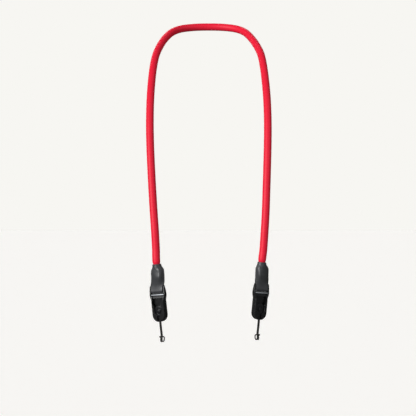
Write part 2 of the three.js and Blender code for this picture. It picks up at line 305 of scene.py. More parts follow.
tucked, straight = COLLAR_TOP - ROPE_TUCK, ROPE_STRAIGHT
rope_points = [collar_point("left", tucked), collar_point("left", straight)] + ROPE_ROUTE
rope_points += [collar_point("right", straight), collar_point("right", tucked)]
rope_curve = smooth_line(rope_points)
print("rope route with", len(rope_points), "points")

# %% Rope
ROPE_PLAITS = 16
ROPE_SAMPLES = 4
ROPE_ROW = 0.64 * MM
ROPE_RELIEF = 0.17 * MM
PINCH = 4.7 * MM
PINCH_EASE = 3.0 * MM

rope_line, rope_length = even_line(rope_curve, ROPE_ROW)
from_end = np.minimum(np.arange(len(rope_line)), np.arange(len(rope_line))[::-1]) * ROPE_ROW
free = np.clip((from_end - ROPE_TUCK * MM) / PINCH_EASE, 0, 1)
free = free * free * (3 - 2 * free)
rope_radius = PINCH + (ROPE_DIAMETER / 2 - PINCH) * free
rope = braided_tube("braided_rope", rope_line, rope_radius, ROPE_PLAITS, ROPE_SAMPLES, 2, ROPE_RELIEF)
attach(rope, "strap")
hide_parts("rope")
print("rope", round(float(rope_length) * 1000), "mm long with", len(rope.data.polygons), "faces")

# %% [markdown]
# ## The tethers
# Each tether is one thin cord with both ends held in the disc. It hangs doubled from the link's notch and
# is looped through itself round its lower end, a lark's head hitch with an open eye. Half of the hitch is
# listed, and the other half is its mirror image.

# %% Tether routes
TETHER_DIAMETER = 1.7
TETHER_HALF_SPACING = 0.86
TETHER_DEPTH = -1.75
TETHER_TOP = -34.9
LINK_TIP = -41.7
TETHER_DROP = 8.0
EYE_MIDDLE = -66.0
HITCH_HALF = [
    (0.87, 0, 5.6),
    (0.95, -1.1, 2.9),
    (1.05, -2.1, 0.4),
    (1.15, -1.6, -1.6),
    (1.35, 0, -2.4),
    (1.7, 1.7, -1.5),
    (2.1, 2.2, 0.4),
    (2.6, 1.8, 2.5),
    (2.9, 0.2, 3.9),
    (2.3, -1.7, 4.5),
    (0.9, -2.5, 4.6),
]


def tether_route():
    """The tether's points in millimetres about the crossbar, down one strand and up the other."""
    heights = (TETHER_TOP, LINK_TIP, LINK_TIP - TETHER_DROP)
    half = [(TETHER_HALF_SPACING, TETHER_DEPTH, z) for z in heights]
    half += [(x, TETHER_DEPTH + y, EYE_MIDDLE + z) for x, y, z in HITCH_HALF]
    return half + [(-x, y, z) for x, y, z in reversed(half)]


# %% Tethers
TETHER_PLAITS = 4
TETHER_SAMPLES = 8
TETHER_ROW = 0.17 * MM
TETHER_RELIEF = 0.12 * MM

tethers = {}
for side in SIDES:
    route = [tuple(END_FRAMES[side] @ Vector(p)) for p in tether_route()]
    line, length = even_line(smooth_line(route), TETHER_ROW)
    radius = np.full(len(line), TETHER_DIAMETER / 2 * MM)
    cord = braided_tube(f"tether_cord_{side}", line, radius, TETHER_PLAITS, TETHER_SAMPLES, 1, TETHER_RELIEF)
    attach(cord, f"{side}_link")
    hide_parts(f"tether_{side}")
    tethers[side] = cord
    print(side, "tether", round(float(length) * 1000, 1), "mm long with", len(cord.data.polygons), "faces")

# %% [markdown]
# ## Finish of the cords
# The rope's sheath is dyed polyester: long smooth filaments lie side by side in each plait, so it has a soft
# sheen. The grooves are painted a deeper colour as painted shade. The tether is a tight dark cord of the same
# make. The filaments run along each plait, so they are drawn from the tube's own UV map, which counts plaits.

# %% Braided polyester
CORD_PATCH = 14 * MM


def braided_polyester(name, crown, groove_shade, filaments, roughness):
    """Dyed polyester braid: paler on the plaits, with painted shade in the grooves, and filaments along each
    plait.
    """
    material, tree, shader = start_material(name, Roughness=roughness, Specular_IOR_Level=0.3)
    plaits = add_node(tree, "ShaderNodeUVMap", {"uv_map": "plaits"})
    split = add_node(tree, "ShaderNodeSeparateXYZ", links={0: plaits.outputs[0]})
    leaning = add_node(tree, "ShaderNodeAttribute", {"attribute_name": "leaning"})
    height = add_node(tree, "ShaderNodeAttribute", {"attribute_name": "height"})
    waves = []
    for way in ("ADD", "SUBTRACT"):
        turn = add_node(
            tree, "ShaderNodeMath", {"operation": way}, {0: split.outputs[0], 1: split.outputs[1]}
        )
        phase = add_node(
            tree, "ShaderNodeMath", {"operation": "MULTIPLY"},
            {0: turn.outputs[0], 1: 2 * math.pi * filaments},
        )
        waves.append(add_node(tree, "ShaderNodeMath", {"operation": "SINE"}, {0: phase.outputs[0]}))
    filament = add_node(
        tree, "ShaderNodeMix", {"data_type": "FLOAT"},
        {0: leaning.outputs["Fac"], 2: waves[1].outputs[0], 3: waves[0].outputs[0]},
    )
    place = add_node(tree, "ShaderNodeTexCoord")
    patches = add_node(
        tree, "ShaderNodeTexNoise",
        links={"Vector": place.outputs["Object"], "Scale": 1 / CORD_PATCH, "Detail": 3.0},
    )
    # Painted shade: the plaits' height from the mesh turns the grooves to the darker groove colour, and noise
    # patches add a random tone on top.
    depth = add_node(
        tree, "ShaderNodeMapRange",
        links={0: height.outputs["Fac"], 1: 0.0, 2: 0.75, 3: 0.0, 4: 0.92},
    )
    shade = add_node(
        tree, "ShaderNodeMath", {"operation": "MULTIPLY_ADD"},
        {0: patches.outputs[0], 1: 0.16, 2: depth.outputs[0]},
    )
    tint = add_node(
        tree, "ShaderNodeMix", {"data_type": "RGBA"},
        {0: shade.outputs[0], 6: colour(groove_shade), 7: colour(crown)},
    )
    bump = add_node(
        tree, "ShaderNodeBump", links={"Strength": 0.25, "Distance": 0.03 * MM, "Height": filament.outputs[0]}
    )
    tree.links.new(tint.outputs[2], shader.inputs["Base Color"])
    tree.links.new(bump.outputs[0], shader.inputs["Normal"])
    return material


# The second colour of each cord is painted shade for its grooves.
rope_finish = braided_polyester("red_braided_polyester", "#f4183a", "#d60c2a", 7, 0.48)
tether_finish = braided_polyester("dark_braided_polyester", "#2a2826", "#0f0e0d", 5, 0.6)
rope.data.materials.append(rope_finish)
for cord in tethers.values():
    cord.data.materials.append(tether_finish)
print("cord finishes:", rope_finish.name, "and", tether_finish.name)

# %% [markdown]
# ## The leather ends
# Each end is one strip of leather. It starts at the collar, runs down the front over the rope's tip, is
# folded round the link's crossbar and runs up the back to the collar again. The two layers are sewn
# together along both edges, and above the seams they close round the rope as a collar. The strip is made as
# a grid that follows this path, its width and bulge come from a short table of sections, and Solidify then
# gives the leather its thickness towards the inside. A narrow flat margin lies along the edges, where the
# layers meet, and the outer skin is bent in a little there, as on a rubbed edge. Both sleeves hang a little
# to the right.

# %% Sections of the leather
LEATHER_WALL = 1.55
LEATHER_EDGE = 0.35
COLLAR_WALL, COLLAR_THINS = 0.9, (29.5, 33)
FOLD_RADIUS = 3.5
# height above the crossbar, half width, half depth on the ridge over the rope, half depth at the edge, power
# of the bulge between them (0.5 is an ellipse), and shifts of the strip and of its ridge towards the middle
LEATHER_SECTIONS = np.array([
    (0.0, 8.6, 3.50, 3.45, 1.00, 0.0, 0.0),
    (2.2, 8.6, 3.36, 3.15, 0.95, 0.0, 0.0),
    (5.0, 9.0, 3.34, 2.60, 0.90, 0.0, 0.0),
    (8.0, 9.5, 3.50, 2.05, 0.85, 0.3, 0.8),
    (12.0, 9.75, 4.60, 1.70, 0.80, 0.9, 2.4),
    (15.5, 9.6, 6.30, 1.65, 0.68, 1.3, 4.2),
    (17.5, 9.55, 7.00, 1.60, 0.60, 1.5, 5.0),
    (19.0, 9.55, 7.10, 1.55, 0.57, 1.6, 5.2),
    (24.0, 9.65, 6.55, 1.50, 0.55, 1.9, 4.8),
    (28.0, 9.45, 6.15, 1.40, 0.54, 2.2, 3.4),
    (29.8, 8.6, 6.05, 1.10, 0.52, 2.3, 2.2),
    (31.4, 7.4, 6.00, 0.70, 0.51, 2.5, 1.0),
    (33.0, 6.3, 5.95, 0.20, 0.50, 2.6, 0.3),
    (36.0, 5.9, 5.90, 0.06, 0.50, 2.6, 0.0),
])
SECTION_STEP = 0.1
SECTION_EASE = 1.6


def leather_section(heights):
    """The table's columns at any heights, eased so that the leather has no kinks between sections."""
    reach = np.arange(-4, COLLAR_TOP + 4 + SECTION_STEP, SECTION_STEP)
    spread = np.hanning(round(2 * SECTION_EASE / SECTION_STEP) + 1)
    columns = []
    for column in LEATHER_SECTIONS.T[1:]:
        rough = np.interp(reach, LEATHER_SECTIONS[:, 0], column)
        columns.append(np.interp(heights, reach, np.convolve(rough, spread / spread.sum(), "same")))
    return columns


print("leather sections from", LEATHER_SECTIONS[0, 0], "to", LEATHER_SECTIONS[-1, 0], "mm")

# %% Leather strip
LEATHER_ROW = 0.5
LEATHER_COLUMNS = 64
FOLD_ROWS = 22
STITCH_INSET = 1.5
STITCH_FOOT, STITCH_HEAD, STITCH_FADE = 8.5, 18.5, 2.0
SEAM_PRESS, SEAM_SPREAD = 0.16, 0.5
GATHER_RISE, GATHER_HEIGHTS = 0.22, (26, 30, 32.5, 34.5)
SLACK_RISE, SLACK_HEIGHTS = 0.12, (6, 12, 30, 33)
SLEEVE_DRIFT, DRIFT_HEIGHTS = 0.75, (6, 15, 29, 35)
MARGIN, MARGIN_HEIGHTS = 0.9, (6, 11, 28, 33)


def soft_step(value, start, end):
    """0 below start, 1 above end and smooth between them."""
    share = np.clip((value - start) / (end - start), 0, 1)
    return share * share * (3 - 2 * share)


def soft_band(value, start, full, fade, end):
    """0 outside a band, 1 in it, and smooth at both ends."""
    return soft_step(value, start, full) * (1 - soft_step(value, fade, end))


def seam_press(height, across, width):
    """How far the stitches pull the leather in along each edge."""
    ends = (STITCH_FOOT - STITCH_FADE, STITCH_FOOT, STITCH_HEAD, STITCH_HEAD + STITCH_FADE)
    from_seam = (1 - np.abs(across)) * width - STITCH_INSET
    return SEAM_PRESS * soft_band(height, *ends) * np.exp(-(from_seam / SEAM_SPREAD) ** 2)


def creases(height, across, face):
    """Gathers under the collar and a little slack elsewhere, as waves over the width and the height."""
    gathers = np.sin(9 * across + face) * np.cos(0.9 * height + 5 * across)
    slack = np.sin(0.55 * height + 2.1 * face) * np.cos(2.3 * across + 0.21 * height)
    gathers = GATHER_RISE * gathers * soft_band(height, *GATHER_HEIGHTS)
    return gathers + SLACK_RISE * slack * soft_band(height, *SLACK_HEIGHTS)


def leather_surface(height, across, face, inward):
    """Points on the outside of one face of the leather, at heights and shares of the half width."""
    width, middle, edge, power, shift, ridge = leather_section(height)
    inner = width - MARGIN * soft_band(height, *MARGIN_HEIGHTS)
    share = np.clip(across * width / inner, -1, 1)
    lean = inward * ridge / inner
    flank = (share - lean) / np.where(share > lean, 1 - lean, 1 + lean)
    depth = edge + (middle - edge) * np.maximum(0, 1 - flank**2) ** power
    depth = depth - seam_press(height, across, width) + creases(height, across, face)
    drift = SLEEVE_DRIFT * soft_band(height, *DRIFT_HEIGHTS)
    return np.stack([across * width + inward * shift + drift, face * depth, height], axis=-1)


def leather_strip(name, side):
    """The strip's outer skin, down the front, round the fold and up the back, and the bend at its edges."""
    inward = -SIDES[side]
    across = np.sin(np.linspace(-np.pi / 2, np.pi / 2, LEATHER_COLUMNS + 1))
    heights = np.linspace(COLLAR_TOP, 0, round(COLLAR_TOP / LEATHER_ROW) + 1)
    grid_height, grid_across = np.meshgrid(heights, across, indexing="ij")
    front = leather_surface(grid_height, grid_across, -1, inward)
    back = leather_surface(grid_height[::-1], grid_across, 1, inward)
    turn = np.linspace(0, np.pi, FOLD_ROWS + 1)[1:-1]
    fold_x = np.broadcast_to(front[-1, :, 0], (len(turn), len(across)))
    fold_y = -np.cos(turn)[:, None] * np.abs(front[-1, :, 1])
    fold_z = -np.sin(turn)[:, None] * np.abs(front[-1, :, 1])
    rows = np.concatenate([front, np.stack([fold_x, fold_y, fold_z], axis=-1), back])
    r, c = np.meshgrid(np.arange(len(rows) - 1), np.arange(LEATHER_COLUMNS), indexing="ij")
    here = r * len(across) + c
    quads = np.stack([here, here + len(across), here + len(across) + 1, here + 1], axis=-1)
    mesh = bpy.data.meshes.new(name)
    mesh.from_pydata(rows.reshape(-1, 3).tolist(), [], quads.reshape(-1, 4).tolist())
    strip = bpy.data.objects.new(name, mesh)
    bpy.context.scene.collection.objects.link(strip)
    wall = strip.vertex_groups.new(name="wall")
    for vertex in mesh.vertices:
        thin = float(soft_step(vertex.co.z, *COLLAR_THINS))
        wall.add([vertex.index], 1 - thin * (1 - COLLAR_WALL / LEATHER_WALL), "REPLACE")
    steps = np.linalg.norm(np.diff(rows, axis=1), axis=2)
    run = np.concatenate([np.zeros((len(rows), 1)), np.cumsum(steps, axis=1)], axis=1)
    near = np.maximum(0, LEATHER_EDGE - np.minimum(run, run[:, -1:] - run))
    bend = LEATHER_EDGE - np.sqrt(LEATHER_EDGE**2 - near**2)
    return strip, bend.reshape(-1, 1)


# %% Thickness, soft edges and place


def apply_modifier(piece, kind, **settings):
    """Add a modifier with these settings and apply it at once."""
    bpy.ops.object.select_all(action="DESELECT")
    bpy.context.view_layer.objects.active = piece
    piece.select_set(True)
    modifier = piece.modifiers.new(kind.lower(), kind)
    for field, value in settings.items():
        setattr(modifier, field, value)
    bpy.ops.object.modifier_apply(modifier=modifier.name)


def put_in_place(piece, side):
    """Move a piece made in millimetres about the crossbar to its end of the strap."""
    piece.data.transform(END_FRAMES[side])
    piece.data.update()
    return piece


leathers = {}
for side in SIDES:
    leather, bend = leather_strip(f"leather_sleeve_{side}", side)
    outward = np.array([vertex.normal for vertex in leather.data.vertices])
    apply_modifier(
        leather, "SOLIDIFY", thickness=LEATHER_WALL, offset=-1, use_even_offset=True,
        vertex_group="wall", use_quality_normals=True,
    )
    points = np.array([vertex.co for vertex in leather.data.vertices])
    points[:len(bend)] -= bend * outward
    leather.data.vertices.foreach_set("co", points.ravel())
    leather.data.polygons.foreach_set("use_smooth", [True] * len(leather.data.polygons))
    put_in_place(leather, side)
    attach(leather, "strap")
    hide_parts(f"leather_end_{side}")
    leathers[side] = leather
    print(side, "leather with", len(leather.data.polygons), "faces")

# %% [markdown]
# ## Stitches
# A row of waxed thread runs along each edge, and shows on the front and on the back. One stitch is modelled
# as a small bead that is stretched and flattened, and it is copied along the rows at an even spacing.

# %% Stitches
STITCH_SPACING = 2.6
STITCH_LENGTH = 1.9
STITCH_WIDTH = 0.62
STITCH_SLANT = 10
STITCH_LIFT = 0.06
STITCH_REACH = 0.5

bpy.ops.mesh.primitive_uv_sphere_add(segments=10, ring_count=7, radius=0.5)
stitch = bpy.context.object
stitch.name = "one_stitch"
stitch.scale = (STITCH_WIDTH, STITCH_WIDTH, STITCH_LENGTH)
bpy.ops.object.transform_apply(location=False, rotation=False, scale=True)


def sew(side):
    """All the stitches of one leather end as one piece, in millimetres about the crossbar."""
    inward = -SIDES[side]
    sewn = bmesh.new()
    heights = np.arange(STITCH_FOOT + STITCH_LENGTH / 2, STITCH_HEAD, STITCH_SPACING)
    for face in (-1, 1):
        for edge in (-1, 1):
            ends = np.stack([heights - STITCH_REACH, heights, heights + STITCH_REACH])
            across = edge * (1 - STITCH_INSET / leather_section(ends)[0])
            low, middle, high = leather_surface(ends, across, face, inward)
            for a, b, c in zip(low, middle, high):
                lean = Vector(c - a).to_track_quat("Z", "Y").to_matrix().to_4x4()
                slant = Matrix.Rotation(math.radians(STITCH_SLANT * edge * face), 4, "Y")
                lift = Vector((b[0], b[1] + face * STITCH_LIFT, b[2]))
                copy = bmesh.new()
                copy.from_mesh(stitch.data)
                copy.transform(Matrix.Translation(lift) @ lean @ slant)
                part = bpy.data.meshes.new("stitch_copy")
                copy.to_mesh(part)
                copy.free()
                sewn.from_mesh(part)
                bpy.data.meshes.remove(part)
    mesh = bpy.data.meshes.new(f"stitches_{side}")
    sewn.to_mesh(mesh)
    sewn.free()
    rows = bpy.data.objects.new(f"stitches_{side}", mesh)
    bpy.context.scene.collection.objects.link(rows)
    return rows


stitches = {}
for side in SIDES:
    rows = put_in_place(sew(side), side)
    rows.data.polygons.foreach_set("use_smooth", [True] * len(rows.data.polygons))
    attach(rows, "strap")
    stitches[side] = rows
    print(side, "stitches with", len(rows.data.polygons), "faces")
bpy.data.objects.remove(stitch)

# %% [markdown]
# ## Finish of the leather
# The leather is black full-grain cowhide, drum dyed and lightly waxed. Its pores make small pebbles a little
# under a millimetre across, and between them the wax lies a bit duller. The thread is black waxed polyester.

# %% Black waxed leather
LEATHER_PEBBLE = 0.9 * MM
LEATHER_PATCH = 6 * MM


def waxed_leather():
    """Black waxed cowhide: soft sheen, pebbled grain, and duller worn patches."""
    material, tree, shader = start_material("black_waxed_leather")
    place = add_node(tree, "ShaderNodeTexCoord")
    pebbles = add_node(
        tree, "ShaderNodeTexVoronoi", {"feature": "SMOOTH_F1"},
        {"Vector": place.outputs["Object"], "Scale": 1 / LEATHER_PEBBLE, "Smoothness": 0.6},
    )
    patches = add_node(
        tree, "ShaderNodeTexNoise",
        links={
            "Vector": place.outputs["Object"], "Scale": 1 / LEATHER_PATCH, "Detail": 5.0, "Roughness": 0.6,
        },
    )
    tint = add_node(
        tree, "ShaderNodeMix", {"data_type": "RGBA"},
        {0: patches.outputs[0], 6: colour("#28292b"), 7: colour("#434447")},
    )
    gloss = add_node(
        tree, "ShaderNodeMapRange", links={0: patches.outputs[0], 1: 0.3, 2: 0.7, 3: 0.34, 4: 0.48}
    )
    grain = add_node(
        tree, "ShaderNodeBump", links={"Strength": 0.6, "Distance": 0.12 * MM, "Height": pebbles.outputs[0]}
    )
    grain.invert = True
    tree.links.new(tint.outputs[2], shader.inputs["Base Color"])
    tree.links.new(gloss.outputs[0], shader.inputs["Roughness"])
    tree.links.new(grain.outputs[0], shader.inputs["Normal"])
    return material


def waxed_thread():
    """Black waxed polyester thread: nearly matt, with the twist of its strands."""
    material, tree, shader = start_material("black_waxed_thread", Roughness=0.55)
    place = add_node(tree, "ShaderNodeTexCoord")
    twist = add_node(
        tree, "ShaderNodeTexWave", {"bands_direction": "DIAGONAL"},
        {"Vector": place.outputs["Object"], "Scale": 1 / (2.4 * MM), "Distortion": 0.4},
    )
    tint = add_node(
        tree, "ShaderNodeMix", {"data_type": "RGBA"},
        {0: twist.outputs["Fac"], 6: colour("#0e0e10"), 7: colour("#242427")},
    )
    tree.links.new(tint.outputs[2], shader.inputs["Base Color"])
    return material


leather_finish, thread_finish = waxed_leather(), waxed_thread()
for side in SIDES:
    leathers[side].data.materials.append(leather_finish)
    stitches[side].data.materials.append(thread_finish)
print("leather finishes:", leather_finish.name, "and", thread_finish.name)

# %% [markdown]
# ## The link
# The link is one plastic moulding: two arms with a crossbar at the top, and a body with a round foot and a
# track that the disc drops into. It is modelled from a box: the foot is rounded by a wide bevel, the box is
# cut across so that it can widen and thin out towards the arms, and the slot between the arms is cut. The
# outer rims are rounded then, wide on the body and finer on the arms. Cutters take out the track, the opening
# between the lips and the notch for the cord, and the front edges of these get a fine bevel at the end.

# %% Selecting by place


def pick(kind, test):
    """Select the verts, edges or faces of the piece being edited that pass a test."""
    bpy.ops.mesh.select_mode(type={"verts": "VERT", "edges": "EDGE", "faces": "FACE"}[kind])
    bpy.ops.mesh.select_all(action="DESELECT")
    shape = bmesh.from_edit_mesh(bpy.context.edit_object.data)
    shape.normal_update()
    for element in getattr(shape, kind):
        if test(element):
            element.select_set(True)
    shape.select_flush_mode()
    bmesh.update_edit_mesh(bpy.context.edit_object.data)


def edge_middle(edge):
    return (edge.verts[0].co + edge.verts[1].co) / 2


def runs_in_depth(edge):
    """True for an edge that runs straight from front to back."""
    run = edge.verts[0].co - edge.verts[1].co
    return abs(run.x) + abs(run.z) < 1e-4


def start_box(name, low, high):
    """A box between two corners, open for editing."""
    bpy.ops.object.select_all(action="DESELECT")
    size = Vector(high) - Vector(low)
    bpy.ops.mesh.primitive_cube_add(size=1, location=(Vector(low) + Vector(high)) / 2)
    box = bpy.context.object
    box.name = name
    box.scale = size
    bpy.ops.object.transform_apply(location=True, rotation=True, scale=True)
    bpy.ops.object.mode_set(mode="EDIT")
    return box


def start_round(name, radius, length, middle, axis, sides=48):
    """A round bar about the x or y axis, open for editing."""
    bpy.ops.object.select_all(action="DESELECT")
    turn = (0, math.pi / 2, 0) if axis == "x" else (math.pi / 2, 0, 0)
    bpy.ops.mesh.primitive_cylinder_add(
        vertices=sides, radius=radius, depth=length, location=middle, rotation=turn
    )
    bar = bpy.context.object
    bar.name = name
    bpy.ops.object.transform_apply(location=True, rotation=True, scale=True)
    bpy.ops.object.mode_set(mode="EDIT")
    return bar


def done_editing():
    bpy.ops.object.mode_set(mode="OBJECT")


# %% Link body
BODY_WIDTH, ARM_WIDTH, ARM_TOP_WIDTH = 18.6, 22.8, 21.6
BODY_DEPTH, ARM_TOP_DEPTH = 10.0, 3.5
ARM_TOP, ARM_TOP_ROUND = 7.0, 1.25
ARM_SWELL, SHOULDER, WAIST = 0.0, -5.0, -14.0
THIN_FOOT, THIN_EASE = -15.5, 3.0
SLOT_WIDTH, SLOT_FOOT, SLOT_ROUND, SLOT_MARGIN = 19.2, -7.2, 0.9, 0.8
FOOT_SEGMENTS = 20
NEAR, HAIR, MERGE = 0.1, 0.01, 0.05
HALF_DEPTH = BODY_DEPTH / 2
ROUND_FOOT = ARM_TOP - ARM_TOP_ROUND
THIN_SLOPE = (HALF_DEPTH - ARM_TOP_DEPTH / 2) / (ROUND_FOOT - THIN_FOOT)


def half_width_at(height):
    """Half of the link's width: the body is narrow, the arms stand wide of it and taper to their tops."""
    taper = max(0, height - ARM_SWELL) / (ARM_TOP - ARM_SWELL) * (ARM_WIDTH - ARM_TOP_WIDTH) / 2
    return BODY_WIDTH / 2 + (ARM_WIDTH - BODY_WIDTH) / 2 * float(soft_step(height, WAIST, SHOULDER)) - taper


def half_depth_at(height):
    """Half of the link's depth: it thins out as a wedge from the body to the arms, whose tops are round."""
    eased = min(max(0, height - THIN_FOOT + THIN_EASE), 2 * THIN_EASE) ** 2 / (4 * THIN_EASE)
    wedge = THIN_SLOPE * (eased + max(0, min(height, ROUND_FOOT) - THIN_FOOT - THIN_EASE))
    over = max(0, height - ROUND_FOOT)
    rounded = ARM_TOP_ROUND - math.sqrt(max(0, ARM_TOP_ROUND**2 - over**2))
    return HALF_DEPTH - wedge - rounded


def cut_across(heights):
    """Cut the piece being edited all the way across at each height."""
    for height in heights:
        bpy.ops.mesh.select_all(action="SELECT")
        bpy.ops.mesh.bisect(plane_co=(0, 0, height), plane_no=(0, 0, 1))


def resize_level(height, across, depth):
    """Stretch the points of the piece being edited at one height, about its middle."""
    pick("verts", lambda v: abs(v.co.z - height) < 1e-3)
    bpy.ops.transform.resize(value=(across, depth, 1), center_override=(0, 0, height))


def link_body():
    """The moulding before anything is cut out of it."""
    body = start_box("link", (-BODY_WIDTH / 2, -HALF_DEPTH, LINK_TIP), (BODY_WIDTH / 2, HALF_DEPTH, ARM_TOP))
    pick("edges", lambda e: runs_in_depth(e) and edge_middle(e).z < LINK_TIP + NEAR)
    bpy.ops.mesh.bevel(offset=BODY_WIDTH / 2 - HAIR, segments=FOOT_SEGMENTS, affect="EDGES")
    bpy.ops.mesh.select_all(action="SELECT")
    bpy.ops.mesh.remove_doubles(threshold=MERGE)
    eased = [float(z) for z in np.linspace(THIN_FOOT - THIN_EASE, SLOT_FOOT - SLOT_MARGIN, 15)]
    eased += [SLOT_FOOT + SLOT_ROUND + SLOT_MARGIN, SHOULDER, ARM_SWELL]
    rounded = [ROUND_FOOT + ARM_TOP_ROUND * math.sin(a) for a in np.linspace(0, math.pi / 2, 6)]
    cut_across(eased + rounded[:-1])
    for height in eased + rounded:
        resize_level(height, half_width_at(height) / (BODY_WIDTH / 2), half_depth_at(height) / HALF_DEPTH)
    pick("edges", lambda e: runs_in_depth(e) and ARM_SWELL + NEAR < edge_middle(e).z < ARM_TOP - HAIR)
    bpy.ops.mesh.dissolve_edges(use_verts=False)
    done_editing()
    return body


# %% Cutters of the link
TRACK_HALF, TRACK_TOP, TRACK_FRONT, TRACK_BACK = 7.9, -9.9, -3.4, 0.1
DISC_HEIGHT = -27.6
LIP_HALF, LIP_TOP, LIP_LENGTH = 5.4, -15.5, 6.0
LAND_LEAN = 1.3
NOTCH_WIDTH, NOTCH_TOP, NOTCH_BACK = 4.2, -31.0, -0.2
BAR_RADIUS, BAR_LENGTH, BAR_HEIGHT, BAR_DEPTH = 0.9, 20.8, -5.4, -1.5
CLEARANCE = 0.3
PAST = 2.0


def round_corners(below, radius, segments):
    """Round the corners of the box being edited that run in depth and lie below a height."""
    pick("edges", lambda e: runs_in_depth(e) and edge_middle(e).z < below)
    bpy.ops.mesh.bevel(offset=radius, segments=segments, affect="EDGES")


def slot_cutter():
    low = (-SLOT_WIDTH / 2, -HALF_DEPTH - PAST, SLOT_FOOT)
    box = start_box("slot", low, (SLOT_WIDTH / 2, HALF_DEPTH + PAST, ARM_TOP + PAST))
    round_corners(SLOT_FOOT + NEAR, SLOT_ROUND, 6)
    done_editing()
    return box


def track_cutter():
    foot = DISC_HEIGHT - TRACK_HALF
    box = start_box("track", (-TRACK_HALF, TRACK_FRONT, foot), (TRACK_HALF, TRACK_BACK, TRACK_TOP))
    round_corners(foot + NEAR, TRACK_HALF - HAIR, FOOT_SEGMENTS)
    done_editing()
    return box


def lip_cutter():
    """The opening in front of the track: as wide as the track above, and drawn in by the lips below.

    Its back leans away towards the top, which tilts the land under the steel bar.
    """
    foot = DISC_HEIGHT - LIP_HALF
    top = SLOT_FOOT + PAST
    box = start_box("lips", (-LIP_HALF, -HALF_DEPTH - PAST, foot), (LIP_HALF, TRACK_FRONT + CLEARANCE, top))
    round_corners(foot + NEAR, LIP_HALF - HAIR, FOOT_SEGMENTS)
    heights = [float(z) for z in np.linspace(LIP_TOP - LIP_LENGTH, LIP_TOP, 9)]
    cut_across(heights)
    for height in heights + [top]:
        share = float(soft_step(height, LIP_TOP - LIP_LENGTH, LIP_TOP))
        resize_level(height, 1 + (TRACK_HALF / LIP_HALF - 1) * share, 1)
    pick("verts", lambda v: v.co.z > top - NEAR and v.co.y > TRACK_FRONT)
    bpy.ops.transform.translate(value=(0, LAND_LEAN, 0))
    done_editing()
    return box


def notch_cutter():
    low = (-NOTCH_WIDTH / 2, -HALF_DEPTH - PAST, LINK_TIP - PAST)
    box = start_box("notch", low, (NOTCH_WIDTH / 2, NOTCH_BACK, NOTCH_TOP))
    done_editing()
    return box


def socket_cutter():
    bar = start_round(
        "sockets", BAR_RADIUS + CLEARANCE, BAR_LENGTH + 2 * CLEARANCE, (0, BAR_DEPTH, BAR_HEIGHT), "x"
    )
    done_editing()
    return bar


# %% Cut and finish the link
CROSSBAR_RADIUS = 1.6
WEB_FRONT, WEB_BACK = 0.1, 1.1
CRADLE_GAP = 0.12
RIM_ROUND, ARM_RIM_SHARE = 1.0, 0.4
MOUTH_ROUND, MOUTH_TOP, MOUTH_FOOT = 0.35, -8.6, -39.5
SHARP = 50


def combine(piece, tool, operation):
    """Join a tool to a piece or cut it out, and remove the tool."""
    apply_modifier(piece, "BOOLEAN", operation=operation, object=tool, solver="EXACT")
    bpy.data.objects.remove(tool)


def crossbar():
    bar = start_round("crossbar", CROSSBAR_RADIUS, SLOT_WIDTH + 2 * CLEARANCE, (0, 0, 0), "x")
    done_editing()
    return bar


def web():
    """The wall between the arms, behind the steel bar, hollowed at the top as a cradle for the fold."""
    half = SLOT_WIDTH / 2 + CLEARANCE
    wall = start_box("web", (-half, WEB_FRONT, SLOT_FOOT - PAST), (half, WEB_BACK, 0))
    done_editing()
    hollow = start_round("cradle", FOLD_RADIUS + CRADLE_GAP, 2 * half + PAST, (0, 0, 0), "x", 96)
    done_editing()
    combine(wall, hollow, "DIFFERENCE")
    return wall


def bevel_by_weight(piece, width, segments, weight_of):
    """Bevel the sharp edges of a piece, each by the share of the width that weight_of gives it."""
    shape = bmesh.new()
    shape.from_mesh(piece.data)
    shape.normal_update()
    weight = shape.edges.layers.float.new("bevel_weight_edge")
    for edge in shape.edges:
        if edge.calc_face_angle() > math.radians(SHARP):
            edge[weight] = weight_of(edge)
    shape.to_mesh(piece.data)
    shape.free()
    apply_modifier(
        piece, "BEVEL", width=width, segments=segments, limit_method="WEIGHT", use_clamp_overlap=False
    )
    piece.data.attributes.remove(piece.data.attributes["bevel_weight_edge"])


def rim_weight(edge):
    """Full on the body's outer edges, and less on the thin arms."""
    return 1 + (ARM_RIM_SHARE - 1) * float(soft_step(edge_middle(edge).z, WAIST, SHOULDER))


def mouth_weight(edge):
    """Full where the front face meets the walls of the opening and of the notch."""
    middle = edge_middle(edge)
    turns = sorted(face.normal.y for face in edge.link_faces)
    on_front = turns[0] < -0.8 and abs(turns[1]) < 0.3 and middle.y < TRACK_FRONT
    return float(on_front and MOUTH_FOOT < middle.z < MOUTH_TOP)


def make_link():
    """The finished link in millimetres about its crossbar."""
    link = link_body()
    combine(link, slot_cutter(), "DIFFERENCE")
    bevel_by_weight(link, RIM_ROUND, 4, rim_weight)
    for part in (crossbar(), web()):
        combine(link, part, "UNION")
    for cutter in (track_cutter(), lip_cutter(), notch_cutter(), socket_cutter()):
        combine(link, cutter, "DIFFERENCE")
    bevel_by_weight(link, MOUTH_ROUND, 3, mouth_weight)
    bpy.ops.object.shade_smooth_by_angle(angle=math.radians(32))
    apply_modifier(link, "WEIGHTED_NORMAL", keep_sharp=True)
    return link


link_model = make_link()
print("link with", len(link_model.data.polygons), "faces")

# %% [markdown]
# ## The steel bar and the disc
# A polished steel bar crosses the link under the leather fold and keeps the disc from slipping out of the top
# of the track. It is a round rod with domed ends. The disc is turned: a flat round plate with broken
# edges, a shallow groove and a plain raised boss in its middle.

# %% Steel bar
BAR_DOME = 0.45


